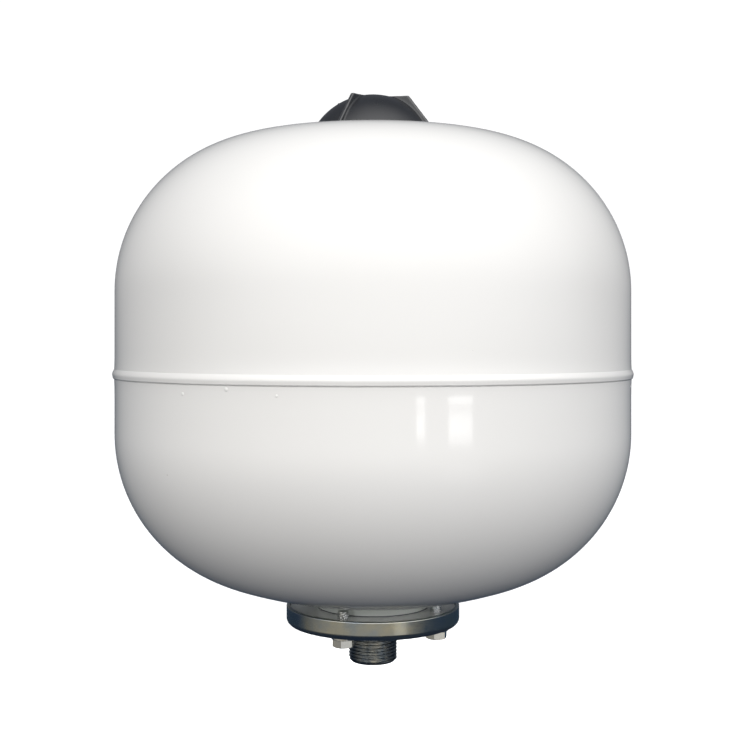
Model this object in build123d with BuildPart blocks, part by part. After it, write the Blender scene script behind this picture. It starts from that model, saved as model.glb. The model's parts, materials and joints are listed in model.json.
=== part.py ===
"""Membrane expansion vessel, 24 litre, with a bolted counter flange and a covered gas valve.

Frame: millimetres, +Z up along the vessel's axis, origin at the centre of the pipe nipple's lower end.
"""

import math
import os

from build123d import *

os.makedirs("parts", exist_ok=True)

# ---------------------------------------------------------------- driving dimensions

# tank
body_r = 175.0
shell_t = 1.5
knuckle_r = 106.0
upper_crown_r = 585.0
lower_crown_r = 314.0
seam_z = 198.3
upper_straight = 55.5  # from the seam to the upper knuckle
lower_straight = 39.0  # from the seam to the lower knuckle

# seam between the two halves
seam_gap = 2.0  # root gap that the weld fills
seam_flare = 0.4  # how far both edges stand out beside the weld
flare_h = 12.0
bead_h = 7.4
bead_proud = 1.8
lip_h = 9.0  # the lower half's joggled lip, inside the upper half
joggle_h = 3.0

# neck, ring and counter flange
neck_r = 38.7
neck_end_z = 34.5
flange_r = 59.6
flange_z = 26.7  # underside of the dish
flange_t = 2.5
rim_top_z = 39.4
rim_corner_r = 4.0
rim_edge_r = 0.8
membrane_lip_t = 3.0
ring_t = 5.8
ring_r = 56.7
neck_weld_h = 1.8

# flange bolts, M8 x 18
bolt_count = 4
bolt_pcd = 94.0
bolt_azimuth = 245.5  # plan angle of the first bolt from +X, degrees
bolt_head_turns = (44.5, 11.5, 22.0, 51.0)  # where each head stopped when tightened, degrees
bolt_d = 8.0
bolt_length = 18.0
bolt_flats = 13.0
bolt_head_h = 5.3
bolt_face_share = 0.94  # of the flats, for the round end face of a head
bolt_chamfer_tilt = 60.0
bolt_tip_chamfer = 0.8
bolt_hole_d = 9.0
washer_d = 16.0
washer_t = 1.6

# nipple, G 1 external pipe thread
thread_r = 33.249 / 2
thread_minor_r = 30.291 / 2
thread_pitch = 25.4 / 11
nipple_bore_r = 12.5
nipple_end_chamfer = 2.0
thread_length = 22.0
thread_first_groove = 0.7  # pitches from the end chamfer to the first groove
thread_groove_share = 0.84  # of the pitch, for a groove's width at the crest
nipple_spigot_r = 15.1
nipple_top_z = 30.6
nipple_weld_leg = 1.8

# membrane
membrane_t = 2.0
membrane_neck_r = 36.0
membrane_r = 105.0
membrane_low_z = 160.0  # centre of the lower round end
membrane_high_z = 200.0  # centre of the upper round end
membrane_lip_r = 42.0

# gas valve
bush_r = 9.0
bush_bottom_z = 352.0
bush_top_z = 369.4
bush_weld_leg = 2.2
stem_r = 5.0
stem_bottom_z = 350.5
stem_flats = 14.0
stem_hex_h = 3.0
pump_thread_r = 3.85
stem_top_z = 379.4
stem_bore_r = 2.2
stem_seat_z = 358.5
stem_passage_r = 1.4
stem_tip_chamfer = 0.5
o_ring_r = 6.4
o_ring_w = 1.4
o_ring_h = 1.1
o_ring_corner_r = 0.44

# valve core
core_top_z = 377.4
core_thread_z = 371.4
core_waist_r = 1.9
core_bottom_z = 363.8
core_chamber_r = 1.6
core_web_t = 1.4
core_hole_r = 0.6
core_gasket_h = 2.4
pin_r = 0.5
pin_top_z = 378.9
pin_disc_r = 1.7
pin_disc_t = 1.8
pin_collar_r = 1.25
pin_collar_t = 0.6
core_gap = 0.05  # running clearance between the pin's faces and the core body
spring_wire_r = 0.14
spring_r = 1.05
spring_turns = 6

# dust cap
dust_cap_r = 5.2
dust_cap_bore_r = 3.95
dust_cap_bottom_z = 373.0
dust_cap_top_z = 381.4
dust_cap_roof_t = 1.2
dust_seal_t = 0.7
grip_count = 16
grip_r = 0.45

# valve cover
cover_dome_r = 47.0
cover_dome_z = 343.3
cover_wall = 2.2
cover_seat_r = 40.0  # where the cover's lower edge is nearest the crown
cover_base_gap = 0.3
cover_rim_r = 46.0
cover_rim_h = 1.3
cover_socket_r = 9.06
cover_socket_wall = 1.9
cover_socket_bottom_z = 367.2
fin_count = 4
fin_azimuth = 240.0  # plan angle of the first fin from +X, degrees
fin_t = 2.4
fin_corner_r = 28.0
fin_corner_z = 387.5
fin_root_r = 11.0
fin_root_z = 388.6


# ---------------------------------------------------------------- shared geometry


def head(side, tangent_z, wall_offset, crown_r):
    """A dished head's outline below the shell's outer surface by wall_offset.

    side is +1 for a head that rises from tangent_z and -1 for one that falls. Returns a function
    that gives the crown's height at a radius, and the knuckle's three points from the straight side in.
    """
    knuckle = knuckle_r - wall_offset
    crown = crown_r - wall_offset
    knuckle_axis_r = body_r - knuckle_r
    rise = math.sqrt((crown - knuckle) ** 2 - knuckle_axis_r**2)
    crown_z = tangent_z - side * rise
    reach = math.asin(knuckle_axis_r / (crown - knuckle))  # tilt of the crown's last normal

    def crown_height(radius):
        return crown_z + side * math.sqrt(crown**2 - radius**2)

    def on_knuckle(tilt):
        return (knuckle_axis_r + knuckle * math.sin(tilt), tangent_z + side * knuckle * math.cos(tilt))

    points = [on_knuckle(math.pi / 2), on_knuckle((math.pi / 2 + reach) / 2), on_knuckle(reach)]
    return crown_height, points


def crown_arc(crown_height, radius_a, radius_b):
    """Three points of a crown between two radii."""
    middle = (radius_a + radius_b) / 2
    return [(r, crown_height(r)) for r in (radius_a, middle, radius_b)]


def flare_radius(distance):
    """Outer radius of either half at a distance from the seam plane."""
    share = (flare_h + seam_gap / 2 - distance) / flare_h
    return body_r + seam_flare * share


upper_tangent_z = seam_z + upper_straight
lower_tangent_z = seam_z - lower_straight
upper_out, upper_out_knuckle = head(1, upper_tangent_z, 0.0, upper_crown_r)
upper_in, upper_in_knuckle = head(1, upper_tangent_z, shell_t, upper_crown_r)
lower_out, lower_out_knuckle = head(-1, lower_tangent_z, 0.0, lower_crown_r)
lower_in, lower_in_knuckle = head(-1, lower_tangent_z, shell_t, lower_crown_r)

inner_r = body_r - shell_t
seam_half = seam_gap / 2
floor_z = flange_z + flange_t  # inside of the dish
ring_z = floor_z + membrane_lip_t
ring_top_z = ring_z + ring_t
bolt_seat_z = flange_z - washer_t
bolt_angles = [bolt_azimuth + i * 360 / bolt_count for i in range(bolt_count)]
fin_angles = [fin_azimuth + i * 360 / fin_count for i in range(fin_count)]

# ---------------------------------------------------------------- tank

with BuildPart() as upper_shell:
    with BuildSketch(Plane.XZ):
        with BuildLine():
            Line((inner_r, seam_z + seam_half), (flare_radius(seam_half), seam_z + seam_half))
            Line((flare_radius(seam_half), seam_z + seam_half), (body_r, seam_z + seam_half + flare_h))
            Line((body_r, seam_z + seam_half + flare_h), upper_out_knuckle[0])
            ThreePointArc(*upper_out_knuckle)
            ThreePointArc(*crown_arc(upper_out, upper_out_knuckle[2][0], bush_r))
            Line((bush_r, upper_out(bush_r)), (bush_r, upper_in(bush_r)))
            ThreePointArc(*crown_arc(upper_in, bush_r, upper_in_knuckle[2][0]))
            ThreePointArc(*reversed(upper_in_knuckle))
            Line(upper_in_knuckle[0], (inner_r, seam_z + seam_half))
        make_face()
    revolve(axis=Axis.Z)

with BuildPart() as lower_shell:
    lip_r = inner_r - shell_t
    with BuildSketch(Plane.XZ):
        with BuildLine():
            Line((neck_r, neck_end_z), (neck_r, lower_out(neck_r)))
            ThreePointArc(*crown_arc(lower_out, neck_r, lower_out_knuckle[2][0]))
            ThreePointArc(*reversed(lower_out_knuckle))
            Line(lower_out_knuckle[0], (body_r, seam_z - seam_half - flare_h))
            Line((body_r, seam_z - seam_half - flare_h), (flare_radius(seam_half), seam_z - seam_half))
            Line((flare_radius(seam_half), seam_z - seam_half), (inner_r, seam_z - seam_half))
            Polyline(
                (inner_r, seam_z - seam_half),
                (inner_r, seam_z + lip_h),
                (lip_r, seam_z + lip_h),
                (lip_r, seam_z - joggle_h),
                (inner_r, seam_z - 2 * joggle_h),
                lower_in_knuckle[0],
            )
            ThreePointArc(*lower_in_knuckle)
            ThreePointArc(*crown_arc(lower_in, lower_in_knuckle[2][0], neck_r - shell_t))
            Polyline(
                (neck_r - shell_t, lower_in(neck_r - shell_t)),
                (neck_r - shell_t, neck_end_z),
                (neck_r, neck_end_z),
            )
        make_face()
    revolve(axis=Axis.Z)

with BuildPart() as seam_weld:
    bead_edge_r = flare_radius(bead_h / 2)
    bead_top = (bead_edge_r, seam_z + bead_h / 2)
    bead_bottom = (bead_edge_r, seam_z - bead_h / 2)
    with BuildSketch(Plane.XZ):
        with BuildLine():
            ThreePointArc(bead_top, (body_r + bead_proud, seam_z), bead_bottom)
            Polyline(
                bead_bottom,
                (flare_radius(seam_half), seam_z - seam_half),
                (inner_r, seam_z - seam_half),
                (inner_r, seam_z + seam_half),
                (flare_radius(seam_half), seam_z + seam_half),
                bead_top,
            )
        make_face()
    revolve(axis=Axis.Z)

# ---------------------------------------------------------------- neck ring and counter flange

with BuildPart() as neck_ring:
    with BuildSketch(Plane.XY.offset(ring_z)):
        Circle(ring_r)
        Circle(neck_r, mode=Mode.SUBTRACT)
        with PolarLocations(bolt_pcd / 2, bolt_count, start_angle=bolt_azimuth):
            Circle(bolt_d / 2, mode=Mode.SUBTRACT)
    extrude(amount=ring_t)

with BuildPart() as neck_weld:
    with BuildSketch(Plane.XY.offset(neck_end_z - neck_weld_h)):
        Circle(neck_r)
        Circle(neck_r - shell_t, mode=Mode.SUBTRACT)
    extrude(amount=neck_weld_h)

with BuildPart() as counter_flange:
    with BuildSketch(Plane.XZ):
        with BuildLine():
            Polyline(
                (nipple_spigot_r, flange_z),
                (flange_r, flange_z),
                (flange_r, rim_top_z),
                (flange_r - flange_t, rim_top_z),
                (flange_r - flange_t, floor_z),
                (nipple_spigot_r, floor_z),
                close=True,
            )
        make_face()
        fillet(vertices().group_by(Axis.X)[-1].sort_by(Axis.Y)[0], radius=rim_corner_r)
        fillet(vertices().group_by(Axis.X)[-1].sort_by(Axis.Y)[-1], radius=rim_edge_r)
        floor_corners = vertices().group_by(Axis.Y)[1].sort_by(Axis.X)
        fillet(floor_corners[-1], radius=rim_corner_r - flange_t)
    revolve(axis=Axis.Z)
    with BuildSketch(Plane.XY.offset(flange_z)):
        with PolarLocations(bolt_pcd / 2, bolt_count, start_angle=bolt_azimuth):
            Circle(bolt_hole_d / 2)
    extrude(amount=flange_t, mode=Mode.SUBTRACT)

with BuildPart() as pipe_nipple:
    thread_depth = thread_r - thread_minor_r
    half_groove = thread_pitch * thread_groove_share / 2
    groove_count = int((thread_length - nipple_end_chamfer) / thread_pitch)
    with BuildSketch(Plane.XZ):
        with BuildLine():
            Polyline(
                (nipple_bore_r, 0),
                (thread_r - nipple_end_chamfer, 0),
                (thread_r, nipple_end_chamfer),
                (thread_r, flange_z),
                (nipple_spigot_r, flange_z),
                (nipple_spigot_r, nipple_top_z),
                (nipple_bore_r, nipple_top_z),
                close=True,
            )
        make_face()
        for turn in range(groove_count):
            groove_z = nipple_end_chamfer + (turn + thread_first_groove) * thread_pitch
            with BuildLine():
                Polyline(
                    (thread_r, groove_z - half_groove),
                    (thread_r - thread_depth, groove_z),
                    (thread_r, groove_z + half_groove),
                    close=True,
                )
            make_face(mode=Mode.SUBTRACT)
    revolve(axis=Axis.Z)

with BuildPart() as nipple_weld:
    with BuildSketch(Plane.XZ):
        with BuildLine():
            Polyline(
                (nipple_spigot_r, floor_z),
                (nipple_spigot_r + nipple_weld_leg, floor_z),
                (nipple_spigot_r, nipple_top_z),
                close=True,
            )
        make_face()
    revolve(axis=Axis.Z)

with BuildPart() as flange_washers:
    with BuildSketch(Plane.XY.offset(bolt_seat_z)):
        with PolarLocations(bolt_pcd / 2, bolt_count, start_angle=bolt_azimuth):
            Circle(washer_d / 2)
            Circle(bolt_d / 2, mode=Mode.SUBTRACT)
    extrude(amount=washer_t)

with BuildPart() as flange_bolts:
    head_bottom_z = bolt_seat_z - bolt_head_h
    for angle, turn in zip(bolt_angles, bolt_head_turns):
        with BuildSketch(Plane.XY.offset(head_bottom_z)):
            with PolarLocations(bolt_pcd / 2, 1, start_angle=angle):
                RegularPolygon(bolt_flats / 2, 6, major_radius=False, rotation=turn - 30)
        extrude(amount=bolt_head_h)
    with BuildSketch(Plane.XY.offset(head_bottom_z)):
        with PolarLocations(bolt_pcd / 2, bolt_count, start_angle=bolt_azimuth):
            Circle(bolt_flats / 2 * bolt_face_share)
    extrude(amount=bolt_head_h, taper=-bolt_chamfer_tilt, mode=Mode.INTERSECT)
    with BuildSketch(Plane.XY.offset(bolt_seat_z)):
        with PolarLocations(bolt_pcd / 2, bolt_count, start_angle=bolt_azimuth):
            Circle(bolt_d / 2)
    extrude(amount=bolt_length)
    chamfer(edges().filter_by(GeomType.CIRCLE).group_by(Axis.Z)[-1], length=bolt_tip_chamfer)

# ---------------------------------------------------------------- membrane

with BuildPart() as membrane:
    inside_neck_r = membrane_neck_r - membrane_t
    inside_r = membrane_r - membrane_t
    root_half = math.sqrt(0.5)

    def bag_foot(neck, bag):
        """Height at which the bag's lower round end meets its neck."""
        return membrane_low_z - math.sqrt(bag**2 - neck**2)

    def bag_flank(neck, bag):
        """A point half way up the lower round end, in angle."""
        tilt = (math.asin(neck / bag) + math.pi / 2) / 2
        return (bag * math.sin(tilt), membrane_low_z - bag * math.cos(tilt))

    with BuildSketch(Plane.XZ):
        with BuildLine():
            Polyline(
                (inside_neck_r, bag_foot(inside_neck_r, inside_r)),
                (inside_neck_r, floor_z),
                (membrane_lip_r, floor_z),
                (membrane_lip_r, ring_z),
                (membrane_neck_r, ring_z),
                (membrane_neck_r, bag_foot(membrane_neck_r, membrane_r)),
            )
            ThreePointArc(
                (membrane_neck_r, bag_foot(membrane_neck_r, membrane_r)),
                bag_flank(membrane_neck_r, membrane_r),
                (membrane_r, membrane_low_z),
            )
            Line((membrane_r, membrane_low_z), (membrane_r, membrane_high_z))
            ThreePointArc(
                (membrane_r, membrane_high_z),
                (membrane_r * root_half, membrane_high_z + membrane_r * root_half),
                (0, membrane_high_z + membrane_r),
            )
            Line((0, membrane_high_z + membrane_r), (0, membrane_high_z + inside_r))
            ThreePointArc(
                (0, membrane_high_z + inside_r),
                (inside_r * root_half, membrane_high_z + inside_r * root_half),
                (inside_r, membrane_high_z),
            )
            Line((inside_r, membrane_high_z), (inside_r, membrane_low_z))
            ThreePointArc(
                (inside_r, membrane_low_z),
                bag_flank(inside_neck_r, inside_r),
                (inside_neck_r, bag_foot(inside_neck_r, inside_r)),
            )
        make_face()
    revolve(axis=Axis.Z)

# ---------------------------------------------------------------- gas valve

with BuildPart() as valve_bush:
    with BuildSketch(Plane.XY.offset(bush_bottom_z)):
        Circle(bush_r)
        Circle(stem_r, mode=Mode.SUBTRACT)
    extrude(amount=bush_top_z - bush_bottom_z)

with BuildPart() as bush_weld:
    weld_foot_r = bush_r + bush_weld_leg
    with BuildSketch(Plane.XZ):
        with BuildLine():
            ThreePointArc(*crown_arc(upper_out, bush_r, weld_foot_r))
            Line((weld_foot_r, upper_out(weld_foot_r)), (bush_r, upper_out(bush_r) + bush_weld_leg))
            Line((bush_r, upper_out(bush_r) + bush_weld_leg), (bush_r, upper_out(bush_r)))
        make_face()
    revolve(axis=Axis.Z)

with BuildPart() as stem_o_ring:
    with BuildSketch(Plane.XZ):
        with Locations((o_ring_r, bush_top_z + o_ring_h / 2)):
            RectangleRounded(o_ring_w, o_ring_h, o_ring_corner_r)
    revolve(axis=Axis.Z)

with BuildPart() as valve_stem:
    with BuildSketch(Plane.XY.offset(stem_bottom_z)):
        Circle(stem_r)
    extrude(amount=bush_top_z - stem_bottom_z)
    with BuildSketch(Plane.XY.offset(bush_top_z)):
        RegularPolygon(stem_flats / 2, 6, major_radius=False)
    extrude(amount=stem_hex_h)
    with BuildSketch(Plane.XY.offset(bush_top_z)):
        Circle(o_ring_r + o_ring_w / 2)
        Circle(o_ring_r - o_ring_w / 2, mode=Mode.SUBTRACT)
    extrude(amount=o_ring_h, mode=Mode.SUBTRACT)
    with BuildSketch(Plane.XY.offset(bush_top_z + stem_hex_h)):
        Circle(pump_thread_r)
    extrude(amount=stem_top_z - bush_top_z - stem_hex_h)
    chamfer(edges().filter_by(GeomType.CIRCLE).group_by(Axis.Z)[-1], length=stem_tip_chamfer)
    with BuildSketch(Plane.XY.offset(stem_seat_z)):
        Circle(stem_bore_r)
    extrude(amount=stem_top_z - stem_seat_z, mode=Mode.SUBTRACT)
    with BuildSketch(Plane.XY.offset(stem_bottom_z)):
        Circle(stem_passage_r)
    extrude(amount=stem_seat_z - stem_bottom_z, mode=Mode.SUBTRACT)

chamber_floor_z = core_bottom_z + core_web_t
chamber_roof_z = core_top_z - core_web_t
collar_top_z = chamber_roof_z - pin_collar_t

with BuildPart() as valve_core_body:
    with BuildSketch(Plane.XZ):
        with BuildLine():
            Polyline(
                (core_hole_r, core_bottom_z),
                (core_waist_r, core_bottom_z),
                (core_waist_r, core_thread_z),
                (stem_bore_r, core_thread_z),
                (stem_bore_r, core_top_z),
                (core_hole_r, core_top_z),
                (core_hole_r, chamber_roof_z),
                (core_chamber_r, chamber_roof_z),
                (core_chamber_r, chamber_floor_z),
                (core_hole_r, chamber_floor_z),
                close=True,
            )
        make_face()
    revolve(axis=Axis.Z)

with BuildPart() as valve_core_gasket:
    with BuildSketch(Plane.XY.offset(core_bottom_z + core_web_t)):
        Circle(stem_bore_r)
        Circle(core_waist_r, mode=Mode.SUBTRACT)
    extrude(amount=core_gasket_h)

with BuildPart() as valve_core_pin:
    disc_top_z = core_bottom_z - core_gap
    with BuildSketch(Plane.XZ):
        with BuildLine():
            Polyline(
                (0, disc_top_z - pin_disc_t),
                (pin_disc_r, disc_top_z - pin_disc_t),
                (pin_disc_r, disc_top_z),
                (pin_r, disc_top_z),
                (pin_r, collar_top_z - pin_collar_t),
                (pin_collar_r, collar_top_z - pin_collar_t),
                (pin_collar_r, collar_top_z),
                (pin_r, collar_top_z),
                (pin_r, pin_top_z),
                (0, pin_top_z),
                close=True,
            )
        make_face()
    revolve(axis=Axis.Z)

with BuildPart() as valve_core_spring:
    spring_low_z = chamber_floor_z + spring_wire_r + core_gap
    spring_high_z = collar_top_z - pin_collar_t - spring_wire_r - core_gap
    spring_pitch = (spring_high_z - spring_low_z) / spring_turns
    with BuildLine() as coil:
        Helix(
            pitch=spring_pitch,
            height=spring_high_z - spring_low_z,
            radius=spring_r,
            center=(0, 0, spring_low_z),
        )
    with BuildSketch(Plane(origin=coil.line @ 0, z_dir=coil.line % 0)):
        Circle(spring_wire_r)
    sweep(path=coil.line, is_frenet=True)

with BuildPart() as dust_cap:
    with BuildSketch(Plane.XY.offset(dust_cap_bottom_z)):
        Circle(dust_cap_r)
        with PolarLocations(dust_cap_r, grip_count):
            Circle(grip_r, mode=Mode.SUBTRACT)
    extrude(amount=dust_cap_top_z - dust_cap_bottom_z)
    with BuildSketch(Plane.XY.offset(dust_cap_bottom_z)):
        Circle(dust_cap_bore_r)
    extrude(amount=dust_cap_top_z - dust_cap_roof_t - dust_cap_bottom_z, mode=Mode.SUBTRACT)

with BuildPart() as dust_cap_seal:
    with BuildSketch(Plane.XY.offset(dust_cap_top_z - dust_cap_roof_t - dust_seal_t - core_gap)):
        Circle(dust_cap_bore_r - core_gap)
    extrude(amount=dust_seal_t)

# ---------------------------------------------------------------- valve cover

with BuildPart() as valve_cover:
    base_z = upper_out(cover_seat_r) + cover_base_gap
    apex_z = cover_dome_z + cover_dome_r
    cavity_r = cover_dome_r - cover_wall
    base_dome_r = math.sqrt(cover_dome_r**2 - (base_z - cover_dome_z) ** 2)
    half_height = (base_z + apex_z) / 2
    with BuildSketch(Plane.XZ):
        with BuildLine():
            Line((0, base_z), (base_dome_r, base_z))
            ThreePointArc(
                (base_dome_r, base_z),
                (math.sqrt(cover_dome_r**2 - (half_height - cover_dome_z) ** 2), half_height),
                (0, apex_z),
            )
            Line((0, apex_z), (0, base_z))
        make_face()
    revolve(axis=Axis.Z)
    with BuildSketch(Plane.XY.offset(base_z)):
        Circle(cover_rim_r)
    extrude(amount=cover_rim_h)
    for angle in fin_angles:
        with BuildSketch(Plane.XZ.rotated((0, 0, angle))):
            with BuildLine():
                Polyline(
                    (fin_root_r, base_z),
                    (cover_rim_r, base_z),
                    (cover_rim_r, base_z + cover_rim_h),
                    (fin_corner_r, fin_corner_z),
                    (fin_root_r, fin_root_z),
                    close=True,
                )
            make_face()
        extrude(amount=fin_t / 2, both=True)
    with BuildSketch(Plane.XZ):
        with BuildLine():
            cavity_base_r = math.sqrt(cavity_r**2 - (base_z - cover_dome_z) ** 2)
            Polyline((0, cover_dome_z + cavity_r), (0, base_z), (cavity_base_r, base_z))
            ThreePointArc(
                (cavity_base_r, base_z),
                (math.sqrt(cavity_r**2 - (half_height - cover_dome_z) ** 2), half_height),
                (0, cover_dome_z + cavity_r),
            )
        make_face()
    revolve(axis=Axis.Z, mode=Mode.SUBTRACT)
    socket_outer_r = cover_socket_r + cover_socket_wall
    socket_top_z = cover_dome_z + math.sqrt(cavity_r**2 - socket_outer_r**2) + cover_wall / 2
    with BuildSketch(Plane.XY.offset(cover_socket_bottom_z)):
        Circle(socket_outer_r)
        Circle(cover_socket_r, mode=Mode.SUBTRACT)
    extrude(amount=socket_top_z - cover_socket_bottom_z)

# ---------------------------------------------------------------- export

upper_shell.part.label = "upper_shell"
lower_shell.part.label = "lower_shell"
seam_weld.part.label = "seam_weld"
neck_ring.part.label = "neck_ring"
neck_weld.part.label = "neck_weld"
counter_flange.part.label = "counter_flange"
pipe_nipple.part.label = "pipe_nipple"
nipple_weld.part.label = "nipple_weld"
flange_bolts.part.label = "flange_bolts"
flange_washers.part.label = "flange_washers"
membrane.part.label = "membrane"
valve_bush.part.label = "valve_bush"
bush_weld.part.label = "bush_weld"
valve_stem.part.label = "valve_stem"
stem_o_ring.part.label = "stem_o_ring"
valve_core_body.part.label = "valve_core_body"
valve_core_gasket.part.label = "valve_core_gasket"
valve_core_pin.part.label = "valve_core_pin"
valve_core_spring.part.label = "valve_core_spring"
dust_cap.part.label = "dust_cap"
dust_cap_seal.part.label = "dust_cap_seal"
valve_cover.part.label = "valve_cover"

export_step(upper_shell.part, "parts/upper_shell.step")
export_step(lower_shell.part, "parts/lower_shell.step")
export_step(seam_weld.part, "parts/seam_weld.step")
export_step(neck_ring.part, "parts/neck_ring.step")
export_step(neck_weld.part, "parts/neck_weld.step")
export_step(counter_flange.part, "parts/counter_flange.step")
export_step(pipe_nipple.part, "parts/pipe_nipple.step")
export_step(nipple_weld.part, "parts/nipple_weld.step")
export_step(flange_bolts.part, "parts/flange_bolts.step")
export_step(flange_washers.part, "parts/flange_washers.step")
export_step(membrane.part, "parts/membrane.step")
export_step(valve_bush.part, "parts/valve_bush.step")
export_step(bush_weld.part, "parts/bush_weld.step")
export_step(valve_stem.part, "parts/valve_stem.step")
export_step(stem_o_ring.part, "parts/stem_o_ring.step")
export_step(valve_core_body.part, "parts/valve_core_body.step")
export_step(valve_core_gasket.part, "parts/valve_core_gasket.step")
export_step(valve_core_pin.part, "parts/valve_core_pin.step")
export_step(valve_core_spring.part, "parts/valve_core_spring.step")
export_step(dust_cap.part, "parts/dust_cap.step")
export_step(dust_cap_seal.part, "parts/dust_cap_seal.step")
export_step(valve_cover.part, "parts/valve_cover.step")
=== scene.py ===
"""Looks of a membrane expansion vessel: enamelled tank, zinc-plated flange, finned valve cover.

Metres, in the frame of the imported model: +Z up, origin at the lower end of the pipe nipple.
"""

import json
import math
import random

import bmesh
import bpy
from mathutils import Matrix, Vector


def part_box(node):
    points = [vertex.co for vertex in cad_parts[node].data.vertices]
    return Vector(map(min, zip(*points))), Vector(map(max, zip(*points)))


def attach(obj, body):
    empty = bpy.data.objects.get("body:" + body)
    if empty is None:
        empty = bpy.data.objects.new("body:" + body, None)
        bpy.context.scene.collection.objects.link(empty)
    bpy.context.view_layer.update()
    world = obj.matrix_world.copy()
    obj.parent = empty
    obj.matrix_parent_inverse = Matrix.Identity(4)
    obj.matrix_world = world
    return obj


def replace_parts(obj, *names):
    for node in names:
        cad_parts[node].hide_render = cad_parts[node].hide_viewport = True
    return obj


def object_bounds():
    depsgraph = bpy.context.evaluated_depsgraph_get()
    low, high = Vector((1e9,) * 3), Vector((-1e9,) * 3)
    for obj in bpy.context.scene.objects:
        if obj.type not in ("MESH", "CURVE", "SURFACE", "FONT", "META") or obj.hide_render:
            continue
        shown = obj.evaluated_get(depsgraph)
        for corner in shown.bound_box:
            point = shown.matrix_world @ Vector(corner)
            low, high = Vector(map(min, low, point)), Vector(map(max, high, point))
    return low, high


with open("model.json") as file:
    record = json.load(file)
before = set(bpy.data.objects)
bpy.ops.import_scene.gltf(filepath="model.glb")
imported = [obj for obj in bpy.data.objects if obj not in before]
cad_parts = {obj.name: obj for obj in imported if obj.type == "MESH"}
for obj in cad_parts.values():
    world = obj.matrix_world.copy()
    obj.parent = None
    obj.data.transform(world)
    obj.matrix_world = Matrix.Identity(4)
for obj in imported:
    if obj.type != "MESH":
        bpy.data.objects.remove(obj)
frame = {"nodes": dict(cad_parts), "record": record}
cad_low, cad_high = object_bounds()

MM = 0.001
mounts = {m["name"]: m for m in frame["record"]["mounts"]}

# ---------------------------------------------------------------- sizes

body_r = mounts["wall_band"]["dims"]["r_mm"] * MM
shell_t = 1.5 * MM
knuckle_r = 106.0 * MM
upper_crown_r = 585.0 * MM
lower_crown_r = 314.0 * MM
upper_straight = 55.5 * MM  # from the seam to the upper knuckle
lower_straight = 39.0 * MM
flare_h = 12.0 * MM

seam_low, seam_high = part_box("seam_weld")
seam_z = (seam_low.z + seam_high.z) / 2
bead_h = seam_high.z - seam_low.z
bead_r = seam_high.x
seam_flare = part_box("upper_shell")[1].x - body_r
seam_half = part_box("upper_shell")[0].z - seam_z

ring_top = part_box("neck_ring")[1].z
neck_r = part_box("neck_weld")[1].x
bush_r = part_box("valve_bush")[1].x
nipple_low, nipple_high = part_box("pipe_nipple")
flange_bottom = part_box("counter_flange")[0].z

thread_r = mounts["pipe_thread"]["dims"]["r_mm"] * MM
thread_pitch = 25.4 / 11 * MM
thread_depth = 0.640327 * thread_pitch
nipple_bore_r = 12.5 * MM
spigot_r = 15.1 * MM

bolt_count = 4
bolt_pcd = 94.0 * MM
bolt_azimuth = 245.5  # plan angle of the first bolt from +X, degrees
bolt_flats = 13.0 * MM
bolt_shank_r = 4.0 * MM
bolt_thread_pitch = 1.25 * MM
bolt_thread_depth = 0.7 * MM
washer_r = 8.0 * MM
washer_hole_r = 4.05 * MM


# ---------------------------------------------------------------- mesh helpers


def finish_mesh(name, verts, faces, body, slot_name, sharp_deg=32.0):
    """A smooth-shaded object from vertices and faces, riding on a body."""
    mesh = bpy.data.meshes.new(name)
    mesh.from_pydata(verts, [], faces)
    mesh.update()
    obj = bpy.data.objects.new(name, mesh)
    bpy.context.scene.collection.objects.link(obj)
    bm = bmesh.new()
    bm.from_mesh(mesh)
    bmesh.ops.recalc_face_normals(bm, faces=bm.faces)
    bm.to_mesh(mesh)
    bm.free()
    mesh.shade_smooth()
    mesh.set_sharp_from_angle(angle=math.radians(sharp_deg))
    obj.data.materials.append(MATERIALS[slot_name])
    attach(obj, body)
    return obj


def turned_shape(outline_at, segments):
    """Vertices and quads of a closed outline turned round an upright axis.

    outline_at(angle) gives the outline's (radius, height) pairs, as many at every angle.
    """
    verts = []
    for step in range(segments):
        angle = 2 * math.pi * step / segments
        outline = outline_at(angle)
        verts += [(r * math.cos(angle), r * math.sin(angle), z) for r, z in outline]
    count = len(outline)
    faces = []
    for step in range(segments):
        here, there = step * count, (step + 1) % segments * count
        for i in range(count):
            j = (i + 1) % count
            faces.append((here + i, there + i, there + j, here + j))
    return verts, faces


def lathe(name, profile, body, slot_name, segments=256, shape=None, sharp_deg=32.0):
    """A closed outline of (radius, height) turned round the vessel's axis.

    shape(radius, height, angle) may return a changed (radius, height).
    """

    def outline_at(angle):
        return [shape(r, z, angle) for r, z in profile] if shape else profile

    verts, faces = turned_shape(outline_at, segments)
    return finish_mesh(name, verts, faces, body, slot_name, sharp_deg)


def groove(height, angle, pitch, depth):
    """Depth of a right-hand thread's groove, with a rounded crest and root, at a height and an angle."""
    phase = height / pitch - angle / (2 * math.pi)
    wave = 0.5 + 0.62 * math.cos(2 * math.pi * phase)
    return depth * (1 - max(0.0, min(1.0, wave)))


def hexagon_r(flat_r, angle):
    """Radius of a hexagon's outline at an angle from one of its corners."""
    wrapped = (angle + math.pi / 6) % (math.pi / 3) - math.pi / 6
    return flat_r / math.cos(math.pi / 6 - abs(wrapped))


def threaded_rows(low, high, radius, pitch, depth, angle, rows, start=0.0, runout=0.0):
    """(radius, height) pairs up a threaded cylinder, with a chamfered start below and a runout above."""
    pairs = []
    for row in range(rows + 1):
        z = low + (high - low) * row / rows
        fade = min(1.0, (high - z) / runout) if runout else 1.0
        chamfered = radius - max(0.0, start - (z - low))
        pairs.append((min(radius - groove(z, angle, pitch, depth) * fade, chamfered), z))
    return pairs


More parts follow.
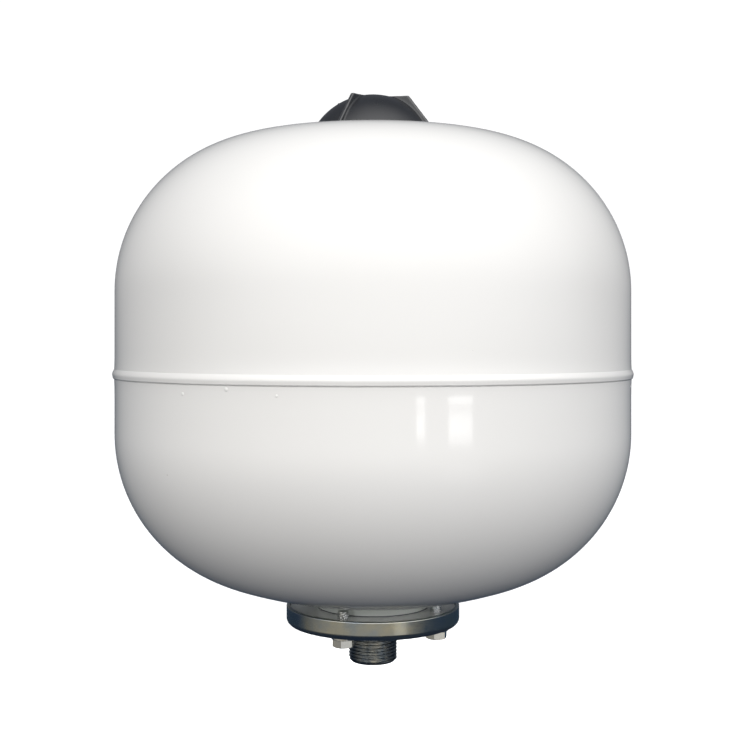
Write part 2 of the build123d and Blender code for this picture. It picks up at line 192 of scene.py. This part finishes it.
def soft_edged(name, node_name, body, slot_name, voxel, passes):
    """A copy of a CAD node with the small edge radii of a moulding."""
    obj = bpy.data.objects.new(name, frame["nodes"][node_name].data.copy())
    bpy.context.scene.collection.objects.link(obj)
    remesh = obj.modifiers.new("remesh", "REMESH")
    remesh.mode = "VOXEL"
    remesh.voxel_size = voxel
    smooth = obj.modifiers.new("smooth", "SMOOTH")
    smooth.factor = 0.5
    smooth.iterations = passes
    shaped = obj.evaluated_get(bpy.context.evaluated_depsgraph_get())
    mesh = bpy.data.meshes.new_from_object(shaped)
    obj.modifiers.clear()
    obj.data = mesh
    mesh.shade_smooth()
    mesh.materials.clear()
    mesh.materials.append(MATERIALS[slot_name])
    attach(obj, body)
    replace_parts(obj, node_name)
    return obj


def arc(centre, radius, start_deg, end_deg, steps):
    """Points on an arc in the (radius, height) plane, both ends included."""
    points = []
    for i in range(steps + 1):
        turn = math.radians(start_deg + (end_deg - start_deg) * i / steps)
        points.append((centre[0] + radius * math.cos(turn), centre[1] + radius * math.sin(turn)))
    return points


# ---------------------------------------------------------------- materials


class Nodes:
    """Short forms for building one material's node tree."""

    def __init__(self, name):
        self.material = bpy.data.materials.new(name)
        self.material.use_nodes = True
        self.tree = self.material.node_tree
        self.shader = self.tree.nodes["Principled BSDF"]
        coords = self.tree.nodes.new("ShaderNodeTexCoord")
        self.place = coords.outputs["Object"]

    def link(self, source, target):
        self.tree.links.new(source, target)

    def mapped(self, scale):
        node = self.tree.nodes.new("ShaderNodeMapping")
        node.inputs["Scale"].default_value = scale
        self.link(self.place, node.inputs["Vector"])
        return node.outputs["Vector"]

    def noise(self, scale, detail=2.0, roughness=0.5, vector=None):
        node = self.tree.nodes.new("ShaderNodeTexNoise")
        node.inputs["Scale"].default_value = scale
        node.inputs["Detail"].default_value = detail
        node.inputs["Roughness"].default_value = roughness
        self.link(vector or self.place, node.inputs["Vector"])
        return node.outputs["Fac"]

    def height(self, low, high):
        """0 at and below the height low, rising to 1 at high."""
        split = self.tree.nodes.new("ShaderNodeSeparateXYZ")
        self.link(self.place, split.inputs[0])
        node = self.tree.nodes.new("ShaderNodeMapRange")
        node.interpolation_type = "SMOOTHSTEP"
        node.inputs["From Min"].default_value = low
        node.inputs["From Max"].default_value = high
        self.link(split.outputs["Z"], node.inputs["Value"])
        return node.outputs["Result"]

    def band(self, low, rise_end, fall_start, high):
        """0 below low and above high, and 1 between rise_end and fall_start."""
        risen = self.height(low, rise_end)
        fallen = self.height(fall_start, high)
        return self.math("MULTIPLY", risen, self.math("SUBTRACT", 1.0, fallen))

    def edges(self):
        """About 0.5 on flat stretches and more on outward edges."""
        return self.tree.nodes.new("ShaderNodeNewGeometry").outputs["Pointiness"]

    def voronoi(self, scale):
        node = self.tree.nodes.new("ShaderNodeTexVoronoi")
        node.inputs["Scale"].default_value = scale
        self.link(self.place, node.inputs["Vector"])
        return node.outputs["Distance"], node.outputs["Color"]

    def ramp(self, value, stops):
        """stops are (position, colour or grey)."""
        node = self.tree.nodes.new("ShaderNodeValToRGB")
        ramp = node.color_ramp
        while len(ramp.elements) < len(stops):
            ramp.elements.new(0.5)
        for element, (position, colour) in zip(ramp.elements, stops):
            element.position = position
            grey = isinstance(colour, (int, float))
            element.color = (colour, colour, colour, 1) if grey else (*colour, 1)
        self.link(value, node.inputs["Fac"])
        return node.outputs["Color"]

    def math(self, operation, a, b):
        node = self.tree.nodes.new("ShaderNodeMath")
        node.operation = operation
        for socket, value in zip(node.inputs, (a, b)):
            if isinstance(value, (int, float)):
                socket.default_value = value
            else:
                self.link(value, socket)
        return node.outputs["Value"]

    def mix(self, factor, a, b, blend="MIX"):
        node = self.tree.nodes.new("ShaderNodeMix")
        node.data_type = "RGBA"
        node.blend_type = blend
        for index, value in ((0, factor), (6, a), (7, b)):
            socket = node.inputs[index]
            if isinstance(value, (int, float)):
                socket.default_value = value
            elif isinstance(value, tuple):
                socket.default_value = (*value, 1)
            else:
                self.link(value, socket)
        return node.outputs[2]

    def bump(self, height, distance, below=None):
        node = self.tree.nodes.new("ShaderNodeBump")
        node.inputs["Distance"].default_value = distance
        node.inputs["Strength"].default_value = 1.0
        self.link(height, node.inputs["Height"])
        if below is not None:
            self.link(below, node.inputs["Normal"])
        return node.outputs["Normal"]

    def set(self, **sockets):
        for name, value in sockets.items():
            socket = self.shader.inputs[name.replace("_", " ")]
            if isinstance(value, (int, float)):
                socket.default_value = value
            elif isinstance(value, tuple):
                socket.default_value = (*value, 1)
            else:
                self.link(value, socket)
        return self.material


def white_enamel():
    """Glossy white stove enamel with slight orange peel, an uneven tint and a few specks of dust.

    Round the neck the colour is turned grey as painted shade, and in the narrow gap on top of the ring
    it is turned dark as a painted contact shadow.
    """
    n = Nodes("white_enamel")
    tint = n.ramp(n.noise(5.0, 3.0), [(0.3, (0.860, 0.853, 0.838)), (0.7, (0.885, 0.880, 0.870))])
    distance, cell = n.voronoi(34.0)
    small = n.ramp(distance, [(0.010, 1.0), (0.022, 0.0)])
    chosen = n.ramp(cell, [(0.80, 0.0), (0.82, 1.0)])
    speck = n.math("MULTIPLY", small, chosen)
    speckled = n.mix(speck, tint, (0.60, 0.58, 0.55))
    # painted shade: greys the neck and darkens the narrow gap on top of the ring, where shade falls
    # under the tank
    neck_shade_mask = n.band(ring_top, ring_top + 0.3 * MM, ring_top + 8.0 * MM, ring_top + 20.0 * MM)
    crevice_shadow_mask = n.band(ring_top, ring_top + 0.1 * MM, ring_top + 0.5 * MM, ring_top + 1.0 * MM)
    painted_shade_colour = n.mix(crevice_shadow_mask, n.mix(neck_shade_mask, (1.0, 1.0, 1.0), (0.62, 0.66, 0.64)), (0.05, 0.06, 0.07))
    colour = n.mix(1.0, speckled, painted_shade_colour, "MULTIPLY")
    rough = n.ramp(n.noise(14.0, 2.0), [(0.2, 0.06), (0.8, 0.10)])
    waves = n.bump(n.noise(38.0, 1.0), 0.000035)
    peel = n.bump(n.noise(300.0, 1.0), 0.000005, waves)
    dust = n.bump(speck, 0.00008, peel)
    return n.set(Base_Color=colour, Roughness=rough, Normal=dust, Specular_IOR_Level=0.5)


def zinc(name, warm, cool, rough, grain):
    """Zinc-plated steel with a faint yellow and blue passivation and fine grain."""
    n = Nodes(name)
    film = n.ramp(n.noise(26.0, 4.0, 0.6), [(0.35, cool), (0.65, warm)])
    cloud = n.ramp(n.noise(9.0, 3.0), [(0.3, 0.78), (0.7, 1.0)])
    colour = n.mix(1.0, film, cloud, "MULTIPLY")
    fine = n.noise(grain, 3.0, 0.6)
    roughness = n.ramp(fine, [(0.3, rough - 0.03), (0.7, rough + 0.04)])
    relief = n.bump(fine, 0.000002)
    return n.set(Base_Color=colour, Metallic=1.0, Roughness=roughness, Normal=relief)


def moulded(name, dark, light, rough, gloss=0.5, edge_wear_and_highlight=None):
    """Moulded plastic or rubber with a fine eroded texture, rub marks and, given a pale edge colour,
    pale edges that are partly wear and partly a painted highlight.
    """
    n = Nodes(name)
    colour = n.ramp(n.noise(60.0, 4.0, 0.6), [(0.3, dark), (0.75, light)])
    if edge_wear_and_highlight:
        # pale convex edges: partly wear, partly a painted highlight for the light caught on rounded
        # ridges
        colour = n.mix(n.ramp(n.edges(), [(0.505, 0.0), (0.56, 1.0)]), colour, edge_wear_and_highlight)
    roughness = n.ramp(n.noise(35.0, 3.0), [(0.25, rough - 0.05), (0.75, rough + 0.07)])
    relief = n.bump(n.noise(2600.0, 2.0), 0.000010)
    return n.set(Base_Color=colour, Roughness=roughness, Normal=relief, Specular_IOR_Level=gloss)


def turned(name, dark, light, rough):
    """Turned metal: fine rings across the axis."""
    n = Nodes(name)
    rings = n.noise(1.0, 2.0, 0.6, n.mapped((60.0, 60.0, 5200.0)))
    colour = n.ramp(n.noise(220.0, 3.0), [(0.3, dark), (0.7, light)])
    roughness = n.ramp(rings, [(0.3, rough - 0.05), (0.7, rough + 0.10)])
    relief = n.bump(rings, 0.00002)
    return n.set(Base_Color=colour, Metallic=1.0, Roughness=roughness, Normal=relief)


MATERIALS = {
    "white_paint": white_enamel(),
    "bare_steel": zinc("bare_steel", (0.42, 0.41, 0.39), (0.34, 0.34, 0.35), 0.42, 900.0),
    "zinc_plate": zinc("zinc_plate", (0.70, 0.67, 0.53), (0.40, 0.49, 0.60), 0.21, 500.0),
    "nipple_steel": turned("nipple_steel", (0.20, 0.24, 0.28), (0.46, 0.45, 0.41), 0.20),
    "bolt_zinc": zinc("bolt_zinc", (0.95, 0.94, 0.86), (0.84, 0.87, 0.92), 0.16, 800.0),
    "membrane_rubber": moulded("membrane_rubber", (0.012, 0.012, 0.013), (0.03, 0.03, 0.03), 0.62),
    "seal_rubber": moulded("seal_rubber", (0.010, 0.010, 0.011), (0.02, 0.02, 0.02), 0.50),
    "valve_brass": turned("valve_brass", (0.60, 0.43, 0.18), (0.78, 0.60, 0.30), 0.26),
    "spring_steel": zinc("spring_steel", (0.60, 0.59, 0.56), (0.50, 0.52, 0.55), 0.25, 2500.0),
    "cap_plastic": moulded("cap_plastic", (0.012, 0.012, 0.013), (0.03, 0.03, 0.03), 0.42),
    # the cover's pale fin edges are partly wear and partly a painted highlight
    "black_plastic": moulded(
        "black_plastic", (0.007, 0.008, 0.011), (0.013, 0.015, 0.019), 0.30, 0.85, (0.12, 0.12, 0.125)
    ),
}

slot_of = {s["node"]: s["material_slot"] for s in frame["record"]["subparts"]}
for node_name, node in frame["nodes"].items():
    node.data.materials.clear()
    node.data.materials.append(MATERIALS[slot_of[node_name]])


# ---------------------------------------------------------------- tank


def dished_head(side, tangent_z, offset, crown_r, end_r, steps=40):
    """Outline of a dished head from its straight side to radius end_r, offset inside the outer skin.

    side is +1 for a head that rises from tangent_z and -1 for one that falls.
    """
    knuckle = knuckle_r - offset
    crown = crown_r - offset
    axis_r = body_r - knuckle_r
    rise = math.sqrt((crown - knuckle) ** 2 - axis_r**2)
    reach = math.degrees(math.asin(axis_r / (crown - knuckle)))
    end = math.degrees(math.asin(end_r / crown))
    bend = arc((axis_r, 0.0), knuckle, 0.0, 90.0 - reach, steps)
    cap = arc((0.0, -rise), crown, 90.0 - reach, 90.0 - end, steps)[1:]
    return [(r, tangent_z + side * z) for r, z in bend + cap]


def flared(distance):
    """Outer radius of either half at a distance from the seam plane."""
    share = (flare_h + seam_half - distance) / flare_h
    return body_r + seam_flare * max(0.0, min(1.0, share)) ** 2


def wall(side, straight):
    """Outer outline of a half's side from the seam to its knuckle."""
    steps = 14
    length = straight - seam_half
    points = []
    for i in range(steps):
        distance = seam_half + length * (i / steps) ** 1.6
        points.append((flared(distance), seam_z + side * distance))
    return points


def tank_upper():
    tangent_z = seam_z + upper_straight
    outer = wall(1, upper_straight) + dished_head(1, tangent_z, 0.0, upper_crown_r, bush_r)
    inner = dished_head(1, tangent_z, shell_t, upper_crown_r, bush_r)[::-1]
    outline = outer + inner + [(body_r - shell_t, seam_z + seam_half)]
    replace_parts(lathe("tank_upper", outline, "tank", "white_paint", 288), "upper_shell")


def tank_lower():
    tangent_z = seam_z - lower_straight
    inner_r = body_r - shell_t
    lip_r = inner_r - shell_t
    lip_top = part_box("lower_shell")[1].z
    neck_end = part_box("lower_shell")[0].z
    outer = wall(-1, lower_straight) + dished_head(-1, tangent_z, 0.0, lower_crown_r, neck_r)
    inner = dished_head(-1, tangent_z, shell_t, lower_crown_r, neck_r - shell_t)[::-1]
    neck = [(neck_r, neck_end), (neck_r - shell_t, neck_end)]
    lip = [
        (inner_r, seam_z - 4 * shell_t),
        (lip_r, seam_z - 2 * shell_t),
        (lip_r, lip_top),
        (inner_r, lip_top),
        (inner_r, seam_z - seam_half),
    ]
    outline = outer + neck + inner + lip
    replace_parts(lathe("tank_lower", outline, "tank", "white_paint", 288), "lower_shell")


def weld_bead():
    """Bead along the seam with the slow wander and the scales of a machine weld, under enamel."""
    draw = random.Random(11)
    waves = []
    for k in (3, 7, 12, 19, 31, 52):
        waves.append((k, draw.uniform(0, 2 * math.pi), draw.uniform(0.3, 1.0) / k**0.5))
    scales = 420  # round the whole seam
    half = bead_h / 2
    foot_r = flared(half)
    proud = bead_r - foot_r

    def wander(angle, shift):
        return sum(a * math.sin(k * angle + p + shift) for k, p, a in waves) / 2.5

    def shape(radius, height, angle):
        lift = (radius - foot_r) / proud
        if lift <= 0:
            return radius, height
        scale = abs(math.sin(angle * scales / 2 + 0.6 * (height - seam_z) / half))
        swell = 0.96 + 0.04 * wander(angle, 0) + 0.04 * (scale - 0.6)
        return foot_r + (radius - foot_r) * swell, height + 0.18 * MM * wander(angle, 2.0)

    shoulder_z = -1.4 * MM  # from the seam
    under = 1.5 * MM  # height of the steep underside
    shoulder = 0.66  # share of the bead's height at the top of the underside
    steps = 12
    outline = []
    for i in range(steps + 1):
        share = i / steps
        lift = shoulder * (1 - (1 - share) ** 2.2)
        outline.append((foot_r + proud * lift, seam_z + shoulder_z - under * (1 - share)))
    for i in range(1, steps + 1):
        share = i / steps
        lift = shoulder + (1 - shoulder) * min(1.0, 2.5 * share)
        lift *= 1 - share**2.2
        outline.append((foot_r + proud * lift, seam_z + shoulder_z + (half - shoulder_z) * share))
    inner_r = body_r - shell_t
    outline += [
        (flared(seam_half), seam_z + seam_half),
        (inner_r, seam_z + seam_half),
        (inner_r, seam_z - seam_half),
        (flared(seam_half), seam_z - seam_half),
    ]
    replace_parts(lathe("seam_bead", outline, "tank", "white_paint", 1260, shape), "seam_weld")


def weld_spatter():
    """Small drops of weld metal caught under the enamel near the seam."""
    # each drop's plan angle from the front in degrees, then its height from the seam and width in mm
    drops = [(-39.3, -8.4, 2.3), (-28.4, -4.9, 2.6), (-17.9, -8.1, 2.0)]
    drops += [(18.6, 17.6, 1.3), (-16.4, 33.2, 1.2), (74.0, -7.2, 2.0)]
    drops += [(128.0, 9.5, 1.6), (171.0, -6.1, 2.4), (-112.0, -9.3, 1.8)]
    flatness = 0.30  # height of a drop as a share of half its width
    sunk = 0.1 * MM
    rings, sides = 5, 18
    verts, faces = [], []
    for turn, rise, width in drops:
        angle = math.radians(turn - 90.0)
        out = Vector((math.cos(angle), math.sin(angle), 0.0))
        along = Vector((-math.sin(angle), math.cos(angle), 0.0))
        centre = out * (flared(abs(rise) * MM) - sunk) + Vector((0.0, 0.0, seam_z + rise * MM))
        first = len(verts)
        half = width * MM / 2
        for ring in range(rings):
            tilt = math.pi / 2 * ring / rings
            for side in range(sides):
                spin = 2 * math.pi * side / sides
                flat = half * math.cos(tilt)
                offset = along * (flat * math.cos(spin)) + Vector((0.0, 0.0, flat * math.sin(spin)))
                verts.append(centre + offset + out * (flatness * half * math.sin(tilt)))
        verts.append(centre + out * flatness * half)
        top = len(verts) - 1
        for ring in range(rings - 1):
            for side in range(sides):
                here, there = first + ring * sides, first + (ring + 1) * sides
                step = (side + 1) % sides
                faces.append((here + side, here + step, there + step, there + side))
        last = first + (rings - 1) * sides
        faces += [(last + side, last + (side + 1) % sides, top) for side in range(sides)]
        faces.append(tuple(first + side for side in range(sides))[::-1])
    finish_mesh("weld_spatter", verts, faces, "tank", "white_paint", 60.0)


tank_upper()
tank_lower()
weld_bead()
weld_spatter()


# ---------------------------------------------------------------- nipple, bolts and washers


def threaded_nipple():
    """Nipple with a helical parallel pipe thread and a chamfered start."""
    low, high = nipple_low.z, flange_bottom
    chamfer = 2.0 * MM
    lip = 0.4 * MM  # bevel at the bore's mouth
    runout = 3.0 * MM

    def outline_at(angle):
        column = [(nipple_bore_r + lip, low)]
        column += threaded_rows(
            low, high, thread_r, thread_pitch, thread_depth, angle, 300, chamfer, runout
        )
        column += [(spigot_r, high), (spigot_r, nipple_high.z), (nipple_bore_r, nipple_high.z)]
        return column + [(nipple_bore_r, low + lip)]

    verts, faces = turned_shape(outline_at, 120)
    nipple = finish_mesh("threaded_nipple", verts, faces, "tank", "nipple_steel", 50.0)
    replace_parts(nipple, "pipe_nipple")


def bolt_places():
    """Each bolt's centre and the direction of a corner of its head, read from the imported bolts."""
    radius = bolt_pcd / 2
    points = [v.co for v in frame["nodes"]["flange_bolts"].data.vertices]
    places = []
    for i in range(bolt_count):
        angle = math.radians(bolt_azimuth + 360.0 / bolt_count * i)
        centre = Vector((radius * math.cos(angle), radius * math.sin(angle), 0.0))
        near = [p - centre for p in points if (p - centre).xy.length < bolt_flats]
        corner = max(near, key=lambda p: p.xy.length)
        places.append((centre, math.atan2(corner.y, corner.x)))
    return places


def hex_bolts():
    """M8 screws: chamfered hexagon heads, washer faces and rolled threads with chamfered tips."""
    low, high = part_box("flange_bolts")[0].z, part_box("flange_bolts")[1].z
    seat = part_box("flange_washers")[0].z
    sides = 60
    face_r = bolt_flats / 2 * 0.94  # flat end of the head, inside its chamfer
    washer_face_r = bolt_flats / 2 * 0.96
    washer_face_z = seat - 0.3 * MM
    dish = 0.25 * MM  # depth of the head's pressed hollow
    slope = math.tan(math.radians(30.0))
    tip_chamfer = 0.8 * MM
    runout = 2.0 * MM

    def outline_at(angle):
        corner_r = hexagon_r(bolt_flats / 2, angle)
        column = [(0.0, low + dish), (face_r * 0.62, low + dish), (face_r * 0.70, low), (face_r, low)]
        column.append((corner_r, low + (corner_r - face_r) * slope))
        column += [(corner_r, washer_face_z), (washer_face_r, washer_face_z)]
        column += [(washer_face_r, seat), (bolt_shank_r, seat)]
        # the thread is made upside down, because its chamfered start is the tip
        thread = bolt_shank_r, bolt_thread_pitch, bolt_thread_depth
        rows = threaded_rows(-high, -seat, *thread, -angle, 90, tip_chamfer, runout)
        column += [(r, -z) for r, z in rows[::-1]]
        return column + [(0.0, high)]

    shape, quads = turned_shape(outline_at, sides)
    verts, faces = [], []
    for centre, turn in bolt_places():
        first = len(verts)
        cos, sin = math.cos(turn), math.sin(turn)
        verts += [(centre.x + x * cos - y * sin, centre.y + x * sin + y * cos, z) for x, y, z in shape]
        faces += [tuple(first + i for i in quad) for quad in quads]
    bolts = finish_mesh("hex_bolts", verts, faces, "tank", "bolt_zinc", 25.0)
    weld = bmesh.new()
    weld.from_mesh(bolts.data)
    bmesh.ops.remove_doubles(weld, verts=weld.verts, dist=0.001 * MM)
    bmesh.ops.dissolve_degenerate(weld, edges=weld.edges, dist=0.001 * MM)
    weld.to_mesh(bolts.data)
    weld.free()
    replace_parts(bolts, "flange_bolts")


def plain_washers():
    """Stamped washers with bevelled lower edges and sharp upper ones."""
    low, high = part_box("flange_washers")[0].z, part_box("flange_washers")[1].z
    hole, edge = washer_hole_r, 0.35 * MM
    profile = [(hole, low + edge / 2), (hole + edge / 2, low), (washer_r - edge, low)]
    profile += [(washer_r, low + edge), (washer_r, high), (hole, high)]
    shape, quads = turned_shape(lambda angle: profile, 64)
    verts, faces = [], []
    for centre, _ in bolt_places():
        first = len(verts)
        verts += [(centre.x + x, centre.y + y, z) for x, y, z in shape]
        faces += [tuple(first + i for i in quad) for quad in quads]
    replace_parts(finish_mesh("plain_washers", verts, faces, "tank", "bolt_zinc"), "flange_washers")


threaded_nipple()
hex_bolts()
plain_washers()

# ---------------------------------------------------------------- valve and its cover


def threaded_stem():
    """Brass valve stem: a plain M10 shank in the bush, a hexagon and the pump thread above it."""
    low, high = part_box("valve_stem")
    stem_r, bore_r, passage_r = 5.0 * MM, 2.2 * MM, 1.4 * MM
    seat_z = 358.5 * MM  # where the bore for the core narrows to the gas passage
    ring_low, ring_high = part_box("stem_o_ring")
    ring_r, ring_inner_r = ring_high.x, ring_high.x - 1.4 * MM
    hex_low, groove_top = ring_low.z, ring_high.z
    hex_high = hex_low + 3.0 * MM
    thread_foot = hex_high + 0.6 * MM
    pump_r, pump_pitch, pump_depth = 3.85 * MM, 0.794 * MM, 0.45 * MM
    tip_chamfer = 0.5 * MM

    def outline_at(angle):
        hex_r = hexagon_r(high.y, angle)
        column = [(passage_r, low.z), (stem_r, low.z), (stem_r, hex_low)]
        column += [(ring_inner_r, hex_low), (ring_inner_r, groove_top), (ring_r, groove_top)]
        column += [(ring_r, hex_low), (hex_r - 0.2 * MM, hex_low), (hex_r, hex_low + 0.2 * MM)]
        column += [(hex_r, hex_high - 0.3 * MM), (hex_r - 0.4 * MM, hex_high)]
        column.append((pump_r - 0.3 * MM, hex_high))
        rows = threaded_rows(
            -high.z, -thread_foot, pump_r, pump_pitch, pump_depth, -angle, 64, tip_chamfer
        )
        column += [(r, -z) for r, z in rows[::-1]]
        return column + [(bore_r, high.z), (bore_r, seat_z), (passage_r, seat_z)]

    verts, faces = turned_shape(outline_at, 96)
    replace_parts(finish_mesh("threaded_stem", verts, faces, "tank", "valve_brass", 28.0), "valve_stem")


threaded_stem()
soft_edged("finned_cover", "valve_cover", "cover", "black_plastic", 0.5 * MM, 8)

# ---------------------------------------------------------------- stage, light and camera


def floor():
    """Pale floor far below the hanging vessel."""
    drop = 0.45
    size = 14.0
    mesh = bpy.data.meshes.new("floor")
    z = cad_low.z - drop
    corners = [(-size, -size, z), (size, -size, z), (size, size, z), (-size, size, z)]
    mesh.from_pydata(corners, [], [(0, 1, 2, 3)])
    obj = bpy.data.objects.new("floor", mesh)
    bpy.context.scene.collection.objects.link(obj)
    n = Nodes("floor_paper")
    colour = n.ramp(n.noise(3.0, 2.0), [(0.3, 0.90), (0.7, 0.92)])
    glow = (1.0, 1.0, 1.0)
    paper = n.set(Base_Color=colour, Roughness=0.9, Emission_Color=glow, Emission_Strength=0.3)
    obj.data.materials.append(paper)
    obj.visible_diffuse = False
    obj.visible_glossy = False


def studio_light():
    """Soft light from above and in front, a little from the right, over a dim room.

    The camera itself sees plain white behind the vessel.
    """
    world = bpy.data.worlds.new("studio")
    bpy.context.scene.world = world
    world.use_nodes = True
    tree = world.node_tree
    tree.nodes.clear()

    def add(kind, **settings):
        node = tree.nodes.new(kind)
        for key, value in settings.items():
            setattr(node, key, value)
        return node

    def join(source, target):
        tree.links.new(source, target)

    coords = add("ShaderNodeTexCoord")
    split = add("ShaderNodeSeparateXYZ")
    join(coords.outputs["Generated"], split.inputs[0])

    def step(value, low, high):
        node = add("ShaderNodeMapRange", interpolation_type="SMOOTHSTEP", clamp=True)
        join(value, node.inputs["Value"])
        node.inputs["From Min"].default_value = low
        node.inputs["From Max"].default_value = high
        return node.outputs["Result"]

    def facing(azimuth_deg, lift=0.0):
        node = add("ShaderNodeVectorMath", operation="DOT_PRODUCT")
        turn = math.radians(azimuth_deg)
        node.inputs[1].default_value = (math.sin(turn), -math.cos(turn), lift)
        join(coords.outputs["Generated"], node.inputs[0])
        return node.outputs["Value"]

    def blend(factor, a, b):
        node = add("ShaderNodeMix", data_type="RGBA")
        join(factor, node.inputs[0])
        for socket, value in ((node.inputs[6], a), (node.inputs[7], b)):
            if isinstance(value, tuple):
                socket.default_value = (*value, 1)
            else:
                join(value, socket)
        return node.outputs[2]

    sky = blend(step(facing(8.0, 0.15), -0.34, 0.93), (0.15, 0.16, 0.18), (2.11, 2.10, 2.09))
    bench = blend(step(facing(-20.0), -0.20, 0.95), (0.03, 0.05, 0.08), (0.41, 0.38, 0.32))
    ground = blend(step(split.outputs["Z"], -0.50, -0.22), (0.02, 0.03, 0.05), bench)
    room = blend(step(split.outputs["Z"], -0.06, 0.06), ground, sky)
    seen = add("ShaderNodeLightPath")
    picture = blend(seen.outputs["Is Camera Ray"], room, (1.05, 1.05, 1.05))
    background = add("ShaderNodeBackground")
    join(picture, background.inputs["Color"])
    output = add("ShaderNodeOutputWorld")
    join(background.outputs[0], output.inputs[0])


def window(name, start_deg, end_deg, low_z, high_z, radiance, in_gloss=True):
    """A soft upright light two metres away, between two plan angles from the front.

    Without in_gloss it lights the vessel but isn't seen in polished surfaces.
    """
    distance = 2.0
    middle = math.radians((start_deg + end_deg) / 2)
    data = bpy.data.lights.new(name, "AREA")
    data.shape = "RECTANGLE"
    data.size = 2 * distance * math.tan(math.radians((end_deg - start_deg) / 2))
    data.size_y = high_z - low_z
    data.energy = radiance * math.pi * data.size * data.size_y
    obj = bpy.data.objects.new(name, data)
    bpy.context.scene.collection.objects.link(obj)
    obj.location = (distance * math.sin(middle), -distance * math.cos(middle), (low_z + high_z) / 2)
    obj.rotation_euler = (math.radians(90.0), 0.0, middle)
    obj.visible_camera = False
    obj.visible_glossy = in_gloss


def camera():
    """Level view from the front, a little above the seam."""
    data = bpy.data.cameras.new("camera")
    obj = bpy.data.objects.new("camera", data)
    bpy.context.scene.collection.objects.link(obj)
    distance = 4.907 * body_r
    obj.location = (0.0, -distance, seam_z + 0.1377 * body_r)
    obj.rotation_euler = (math.radians(90.0), 0.0, 0.0)
    data.sensor_width = 36.0
    data.lens = 59.59
    data.shift_x = 0.0028
    data.shift_y = -0.0489
    bpy.context.scene.camera = obj


floor()
studio_light()
window("narrow_window", 16.9, 20.3, 0.020, 0.076, 5.0)
window("wide_window", 29.8, 39.6, 0.014, 0.074, 5.0)
window("low_window", 28.0, 44.0, -0.75, -0.25, 0.34)
window("back_fill", 166.0, 194.0, -0.3, 0.7, 5.0, in_gloss=False)
camera()
bpy.context.scene.view_settings.view_transform = "Standard"
